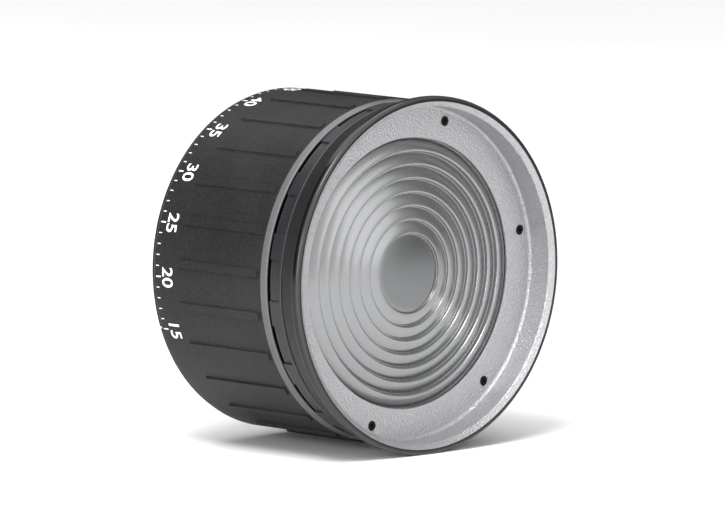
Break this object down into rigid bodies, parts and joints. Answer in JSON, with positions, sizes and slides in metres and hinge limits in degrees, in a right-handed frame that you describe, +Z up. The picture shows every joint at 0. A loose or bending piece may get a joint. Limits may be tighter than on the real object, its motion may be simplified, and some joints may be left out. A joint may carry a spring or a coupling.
{
  "type": "zooming fresnel attachment",
  "caption": "Round zooming fresnel spotlight attachment: ribbed turning barrel, castellated lens cell, flared bezel with a silver dish, stepped glass lens and a rear bayonet.",
  "frame": {"origin": "on the optical axis, in the rear seating face that meets the lamp", "axes": "-Y is the way the light leaves (the front), +Y points into the lamp, +Z is up, +X is on the right for a person who looks into the lens"},
  "size_m": [0.192, 0.1383, 0.192],
  "materials": {
    "textured_plastic": "fine moulded grain",
    "trim_paint": "satin",
    "bezel_paint": "fine textured paint with a glossy lip",
    "silver_dish": "silver paint with a fine orange peel",
    "vent_anodised": "smooth satin",
    "black_anodised": "black anodised",
    "cam_plastic": "matt",
    "low_friction_plastic": "smooth",
    "black_felt": "felt",
    "black_rubber": "matt",
    "nickel_steel": "satin",
    "zinc_steel": "satin",
    "black_screw": "black oxide",
    "white_plastic": "gloss",
    "lens_glass": "clear",
    "clear_glass": "clear"
  },
  "bodies": {
    "housing": {"guide_tube": "black_anodised", "glide_bands": "low_friction_plastic", "wiper_ring": "black_felt", "barrel_retainer": "black_anodised", "retainer_screws": "zinc_steel", "rear_cover": "textured_plastic", "cover_screws": "zinc_steel", "drag_felt": "black_felt", "index_pin": "white_plastic", "bayonet_plate": "nickel_steel", "bayonet_screws": "black_screw", "condenser_holder": "black_anodised", "holder_screws": "zinc_steel", "condenser_gasket": "black_rubber", "condenser_lens": "clear_glass", "condenser_retainer": "black_anodised", "condenser_set_screws": "zinc_steel"},
    "barrel": {"zoom_barrel": "textured_plastic", "barrel_trim_ring": "trim_paint", "cam_sleeve": "cam_plastic", "cam_keys": "zinc_steel"},
    "carriage": {"front_bezel": "bezel_paint", "reflector_liner": "silver_dish", "bezel_screws": "black_screw", "bezel_seal": "black_rubber", "lens_gasket": "black_rubber", "fresnel_lens": "lens_glass", "lens_cushion": "black_rubber", "vent_ring": "vent_anodised", "carriage_sleeve": "black_anodised", "sleeve_screws": "zinc_steel", "carriage_band": "low_friction_plastic", "follower_bushes": "low_friction_plastic", "follower_screws": "zinc_steel"}
  },
  "joints": [
    {"name": "zoom_turn", "type": "hinge", "parent": "housing", "child": "barrel", "pos_m": [0, 0, 0], "axis": [0, -1, 0], "range_deg": [0, 110]},
    {"name": "zoom_slide", "type": "slide", "parent": "housing", "child": "carriage", "axis": [0, -1, 0], "range_m": [0, 0.04]}
  ],
  "couplings": [
    {"joint": "zoom_slide", "follows": "zoom_turn", "m_per_rad": 0.020835}
  ]
}
